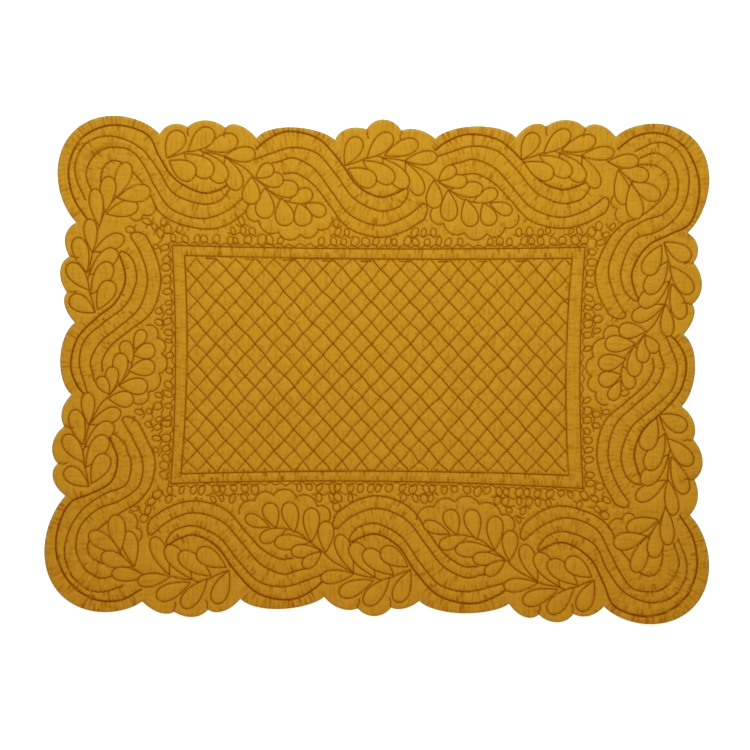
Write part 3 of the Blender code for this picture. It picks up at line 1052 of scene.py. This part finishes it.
def snapped_border(plan, spacing, last_rows):
    """the same for a border, all but its first row and the last ones"""
    reach = SNAP * np.minimum(length(np.roll(plan, -1, 1) - plan), spacing)
    reach[0] = 0
    reach[-len(last_rows) - 1:] = 0
    return drawn_to_seams(plan, reach)


front_field, back_field = snapped_field(front_field, NET), snapped_field(back_field, 2 * NET)
front_border = snapped_border(front_border, NET, EDGE_ROWS)
back_border = snapped_border(back_border, 2 * NET, UNDER_ROWS)
print("front:", front_field.shape[:2], "field,", front_border.shape[:2], "border;",
      "back:", back_field.shape[:2], back_border.shape[:2])

# %% [markdown]
# ## Cotton and thread
#
# The cloth is a plain-woven cotton, coloured in the piece with one strong yellow, so colour
# hardly changes over it. What does: faint upright slubs, thicker yarns that take the dye a
# little differently, and a slow mottle from the washing. Shade and light are painted in too:
# the furrows, the folds and a crease are painted browner and darker, as the shade where less
# light gets in, and at the very edge painted light from the white table makes the cloth paler.
# The weave itself is too fine to see from above, and a trace of it is kept as a bump. Thread
# is the same dye on a tighter, smoother yarn, a little darker, and its colour is painted
# darker still as the shade of the furrow it lies in.

# %% Materials
CLOTH = (0.527, 0.2815, 0.0190)
HOLLOW = (0.455, 0.182, 0.0035)  # light that has gone from cloth to cloth before it leaves
# painted light: the paler colour of the rim, for the white table's light on it
RIM_LIGHT = (0.464, 0.345, 0.080)
# painted shade: the brown the furrows are painted, where less light gets in
FURROW_SHADE = (0.225, 0.066, 0.0008)
# the thread's own darker dye, painted darker still as the shade of its furrow
THREAD_WITH_SHADE = (0.130, 0.034, 0.0005)
SLUBS = ((900, 110, 900), 0.16, 0.86)  # how many a metre each way, how strong, the tone without them
MOTTLE = (38.0, 0.12)
HOLLOW_WIDTH = 1.7   # how far the light-robbed cloth reaches beyond the furrow's brown
WEAVE = (700.0, 1.2)
SLUB_HEIGHT = 2.0
WEAVE_BUMP = (0.25, 0.00006)


def feed(tree, node, inputs):
    """gives each named input of the node a value or another node's output; returns the node"""
    for key, value in inputs.items():
        if isinstance(value, bpy.types.NodeSocket):
            tree.links.new(value, node.inputs[key])
        else:
            node.inputs[key].default_value = value
    return node


def add(tree, kind, inputs=None, **settings):
    """a new node with these settings and inputs"""
    node = tree.nodes.new(kind)
    for key, value in settings.items():
        setattr(node, key, value)
    return feed(tree, node, inputs or {})


def worked_out(tree, operation, *numbers, **settings):
    """the result of a Math node"""
    return add(tree, "ShaderNodeMath", dict(enumerate(numbers)), operation=operation, **settings).outputs[0]


def mixed(tree, share, a, b):
    """colour a going over to b by share"""
    node = add(tree, "ShaderNodeMix", data_type="RGBA")
    return feed(tree, node, {"Factor": share, "A": a, "B": b}).outputs["Result"]


def new_group(name, colours, numbers, results):
    """a node group and what is given to it, by name"""
    group = bpy.data.node_groups.new(name, "ShaderNodeTree")
    for socket, value in colours.items():
        made = group.interface.new_socket(name=socket, in_out="INPUT", socket_type="NodeSocketColor")
        made.default_value = (*value, 1)
    for socket, value in numbers.items():
        made = group.interface.new_socket(name=socket, in_out="INPUT", socket_type="NodeSocketFloat")
        made.default_value = value
    for socket, kind in results.items():
        group.interface.new_socket(name=socket, in_out="OUTPUT", socket_type=kind)
    return group, group.nodes.new("NodeGroupInput").outputs


def cotton_group():
    """colour and bump height of plain-woven cotton in its dye, from place; with painted shade near seams,
    folds and the crease, and painted light from the white table at the rim
    """
    group, given = new_group(
        "cotton_dye_and_painted_light", {"Cloth": CLOTH, "Hollow": HOLLOW, "Furrow": FURROW_SHADE, "Pale": RIM_LIGHT},
        {"Seam": 0.0, "Rim_Light": 0.0}, {"Color": "NodeSocketColor", "Height": "NodeSocketFloat"})
    place = add(group, "ShaderNodeTexCoord").outputs["Object"]
    stretch = add(group, "ShaderNodeMapping", {"Vector": place, "Scale": SLUBS[0]}).outputs["Vector"]
    slub = add(group, "ShaderNodeTexNoise", {"Vector": stretch, "Scale": 1.0, "Detail": 3.0}).outputs["Fac"]
    mottle = add(group, "ShaderNodeTexNoise", {"Vector": place, "Scale": MOTTLE[0], "Detail": 4.0})
    slub_tone = worked_out(group, "MULTIPLY_ADD", slub, *SLUBS[1:])
    tone = worked_out(group, "MULTIPLY_ADD", mottle.outputs["Fac"], MOTTLE[1], slub_tone)
    # painted light: towards the edge the colour goes over to the paler rim colour
    rim_lit = mixed(group, given["Rim_Light"], given["Cloth"], given["Pale"])
    dyed_and_rim_lit = add(group, "ShaderNodeVectorMath", {0: rim_lit, "Scale": tone}, operation="SCALE").outputs[0]
    # painted shade: near seams, folds and the crease the colour goes to the hollow's and then the furrow's
    # painted brown
    near = worked_out(group, "MULTIPLY", given["Seam"], HOLLOW_WIDTH, use_clamp=True)
    hollow = mixed(group, near, dyed_and_rim_lit, given["Hollow"])
    colour = mixed(group, given["Seam"], hollow, given["Furrow"])
    weave = {"Vector": place, "Scale": WEAVE[0], "Distortion": WEAVE[1]}
    threads = [add(group, "ShaderNodeTexWave", weave, bands_direction=axis).outputs["Fac"] for axis in "XY"]
    both = worked_out(group, "ADD", *threads)
    height = worked_out(group, "MULTIPLY_ADD", slub, SLUB_HEIGHT, both)
    add(group, "NodeGroupOutput", {"Color": colour, "Height": height})
    return group


def new_material(name, inputs):
    """a material whose Principled shader has these inputs; also its tree and the shader"""
    material = bpy.data.materials.new(name)
    material.use_nodes = True
    tree = material.node_tree
    return material, tree, feed(tree, tree.nodes["Principled BSDF"], inputs)


def cotton_material():
    material, tree, shader = new_material("cotton", {"Roughness": 0.88, "Specular IOR Level": 0.01})
    made = add(tree, "ShaderNodeGroup", node_tree=cotton_group())
    for name, socket in (("seam", "Seam"), ("rim", "Rim_Light")):
        stored = add(tree, "ShaderNodeAttribute", attribute_name=name)
        feed(tree, made, {socket: stored.outputs["Fac"]})
    bump = dict(zip(("Strength", "Distance"), WEAVE_BUMP), Height=made.outputs["Height"])
    normal = add(tree, "ShaderNodeBump", bump).outputs["Normal"]
    feed(tree, shader, {"Base Color": made.outputs["Color"], "Normal": normal})
    return material


cotton = cotton_material()
# the thread's colour carries painted shade of its furrow besides its own darker dye
thread, _, _ = new_material("thread", {"Base Color": (*THREAD_WITH_SHADE, 1), "Roughness": 0.7,
                                       "Specular IOR Level": 0.03})

# %% [markdown]
# ## Putting the cloths together
#
# The front field and its four strips come first. The strips' last rows turn
# down over the edge to the line where the two cloths meet; from that line the back
# cloth runs in under the mat and lies on the table.

# %% Front and back cloth
BLEND = 3     # rows over which the net's own directions take over from the relief's
WELD = 1e4    # points that agree to a WELD-th of a millimetre are one


def raised(plan, field):
    """plan (..., 2) -> places (..., 3), their heights from the field"""
    return np.concatenate([plan, sampled(field, plan)[..., None]], -1)


border_3d = raised(front_border, front)
turned = len(front_border) - len(EDGE_ROWS)  # the first of the rows that turn down
rounding = np.sqrt(1 - (1 - EDGE_ROWS / EDGE_ROUND) ** 2)[:, None]
full = RIM_HEIGHT + (sampled(front, front_border[turned]) - RIM_HEIGHT) / rounding[0]
border_3d[turned:, :, 2] = RIM_HEIGHT + (full - RIM_HEIGHT) * rounding
use_grid = ease((np.arange(len(border_3d)) - (turned - BLEND)) / BLEND)[:, None, None]
border_normals = front_normals(front_border) * (1 - use_grid) + grid_normals(border_3d) * use_grid
border_normals /= length(border_normals)[..., None]
border_shade = sampled(shade, front_border)

front_pieces = []
piece = make_piece("front_middle", raised(front_field, front).reshape(-1, 3), [quads(*front_field.shape[:2])],
                   front_normals(front_field).reshape(-1, 3), sampled(shade, front_field).ravel(), cotton)
front_pieces.append((piece, front_field.reshape(-1, 2)))

corner_columns = np.r_[0, np.cumsum([ACROSS, DOWN, ACROSS, DOWN])] * 2
for k, name in enumerate(("front_far_strip", "front_right_strip", "front_near_strip", "front_left_strip")):
    take = np.arange(corner_columns[k], corner_columns[k + 1] + 1) % border_3d.shape[1]
    piece = make_piece(name, strip(border_3d, take), strip_faces(len(border_3d), take),
                       strip(border_normals, take), strip(border_shade, take).ravel(), cotton)
    front_pieces.append((piece, strip(front_border, take)))

closed = np.arange(back_border.shape[1] + 1) % back_border.shape[1]
under_3d = raised(back_border, back)
edge_3d = border_3d[-1, np.arange(2 * len(closed) - 1) % border_3d.shape[1]]
joined = [raised(back_field, back).reshape(-1, 3), strip(under_3d, closed),
          np.concatenate([under_3d[-1, closed], edge_3d])]
faces = [[quads(*back_field.shape[:2])], strip_faces(len(under_3d), closed), [zipped(len(closed))]]
first = np.r_[0, np.cumsum([len(p) for p in joined])]
points = np.vstack(joined)
_, keep, same = np.unique(np.rint(points * WELD).astype(np.int64), axis=0,
                          return_index=True, return_inverse=True)
same = same.ravel()
faces = [same[f + first[k]][:, ::-1] for k, group in enumerate(faces) for f in group]
under_shade = sampled(back_shade, points[keep][:, :2])
back_cloth = make_piece("back_cloth", points[keep], faces, None, under_shade, cotton)
cloths = [piece for piece, _ in front_pieces] + [back_cloth]


def triangles(piece):
    return sum(len(p.vertices) - 2 for p in piece.data.polygons)


for piece in cloths:
    print(piece.name, triangles(piece), "triangles")

# %% [markdown]
# ## Stitches
#
# The machine makes stitches a good millimetre and a half long. Between two of them the
# thread dives through the cloth, so a sewn line looks like a row of grains lying end to
# end in the bottom of the furrow. Each grain here has only eight faces, since there are
# some eighteen thousand of them: two ends, two sides, a back and a belly.

# %% Stitches
STITCH = 1.62
GRAIN = (0.50, 0.31, 0.18)  # half its length, half its width, its height over the middle
GRAIN_LIFT = 0.10
GRAIN_DIP = -0.1     # its ends lie lower
LOOK = 0.3           # its direction is judged from this far before to this far after it


def stitches():
    """six points a stitch: (ends, sides, back, belly) about places STITCH apart"""
    at, ahead = [], []
    for _, line in seams:
        run = np.r_[0, np.cumsum(length(np.diff(line, axis=0)))]
        count = int(run[-1] / STITCH)
        if not count:
            continue
        middles = (np.arange(count) + 0.5) * run[-1] / count
        before, here, after = [np.stack([np.interp(middles + step, run, line[:, j]) for j in (0, 1)], 1)
                               for step in (-LOOK, 0, LOOK)]
        at.append(here)
        ahead.append(after - before)
    at, ahead = np.vstack(at), np.vstack(ahead)
    ahead = ahead / length(ahead)[:, None]
    half, wide, tall = GRAIN
    out = np.zeros((len(at), 6, 3))
    for k, (a, b, c) in enumerate([(half, 0, GRAIN_DIP), (-half, 0, GRAIN_DIP), (0, wide, 0), (0, -wide, 0),
                                   (0, 0, tall), (0, 0, -tall)]):
        out[:, k, :2] = at + a * ahead + b * leftward(ahead)
        out[:, k, 2] = sampled(front, out[:, k, :2]) + GRAIN_LIFT + c
    return out


grains = stitches()
one = np.array([(0, 2, 4), (2, 1, 4), (1, 3, 4), (3, 0, 4), (2, 0, 5), (1, 2, 5), (3, 1, 5), (0, 3, 5)])
grain_faces = (one[None] + 6 * np.arange(len(grains))[:, None, None]).reshape(-1, 3)
quilting = make_piece("quilting_thread", grains.reshape(-1, 3), [grain_faces], None, None, thread)
print(len(grains), "stitches;", sum(triangles(p) for p in cloths + [quilting]), "triangles in all")

# %% [markdown]
# ## The pieces in the measured part's frame
#
# The flat area of each front piece is worked out. The placemat has no moving
# parts, so every piece rides on the one body.

# %% Flat areas, ride, replace
def swept(a, b):
    """area inside the edges that run from a to b, half the sum of ax by - ay bx, in square metres"""
    return float(abs((a[:, 0] * b[:, 1] - a[:, 1] * b[:, 0]).sum()) / 2 * MM**2)


def edges_of(piece):
    """the numbers of the points where the piece's edges start and end, face by face"""
    corners = np.empty(len(piece.data.loops), np.int32)
    piece.data.loops.foreach_get("vertex_index", corners)
    starts = np.empty(len(piece.data.polygons), np.int32)
    piece.data.polygons.foreach_get("loop_start", starts)
    following = np.arange(len(corners)) + 1
    following[np.r_[starts[1:], len(corners)] - 1] = starts
    return corners, corners[following]


for piece, plan in front_pieces:
    area = swept(*[plan[corners] for corners in edges_of(piece)])

for piece in cloths + [quilting]:
    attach(piece, "root")
    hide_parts("quilted_mat")

# %% [markdown]
# ## White table, soft light, camera straight above
#
# The mat lies on plain white. A cool, broad light comes from the far side, so each pillow
# is bright on its far slope, and a weaker, warm one from the near side keeps the shadows
# brown.

# %% Stage
LENS, SENSOR, CAMERA_HEIGHT = 100.0, 36.0, 1.504
CAMERA_OVER = (-1.345, -3.7)
FLOOR = (4, -0.0002)    # half its width, its height: just under the mat
FLOOR_WHITE = 0.95
FLOOR_GLOW = 0.60  # a white table under a lamp washes out to plain white
ROOM = ((1.0, 0.83, 0.7, 1), 0.22)
# place, aimed at, width and depth, power, colour
LIGHTS = {
    "far_window": ((0.0, 0.45, 0.7), (0.05, 0.1, 0), (0.8, 0.4), 6.5, (0.91, 1.0, 1.0)),
    "near_fill": ((0.0, -0.4, 0.8), (0, 0, 0), (0.4, 0.4), 2.2, (1.0, 0.52, 0.22)),
}

half, under = FLOOR
floor_mesh = bpy.data.meshes.new("floor")
floor_mesh.from_pydata([(x * half, y * half, under) for x, y in ((-1, -1), (1, -1), (1, 1), (-1, 1))],
                       [], [(0, 1, 2, 3)])
floor_paint, _, _ = new_material("white_table", {
    "Base Color": (FLOOR_WHITE, FLOOR_WHITE, FLOOR_WHITE, 1), "Roughness": 1.0, "Specular IOR Level": 0.0,
    "Emission Color": (1, 1, 1, 1), "Emission Strength": FLOOR_GLOW})
floor_mesh.materials.append(floor_paint)
placed("floor", floor_mesh)


def soft_light(name, place, aim, size, power, colour):
    """a rectangular light at place, turned to face aim"""
    lamp = bpy.data.lights.new(name, "AREA")
    lamp.shape = "RECTANGLE"
    lamp.size, lamp.size_y = size
    lamp.energy = power
    lamp.color = colour
    away = np.array(place, float) - np.array(aim, float)
    holder = placed(name, lamp)
    holder.location = place
    holder.rotation_euler = (math.atan2(math.hypot(away[0], away[1]), away[2]), 0,
                             math.atan2(away[0], -away[1]))


for name, row in LIGHTS.items():
    soft_light(name, *row)
world = bpy.data.worlds.new("studio")
world.use_nodes = True
feed(world.node_tree, world.node_tree.nodes["Background"], dict(zip(("Color", "Strength"), ROOM)))
bpy.context.scene.world = world
bpy.context.scene.view_settings.view_transform = "Standard"

lens = bpy.data.cameras.new("above")
lens.lens, lens.sensor_width = LENS, SENSOR
lens.clip_start, lens.clip_end = 0.1, 20
camera = placed("above", lens)
camera.location = (CAMERA_OVER[0] * MM, CAMERA_OVER[1] * MM, CAMERA_HEIGHT)
bpy.context.scene.camera = camera
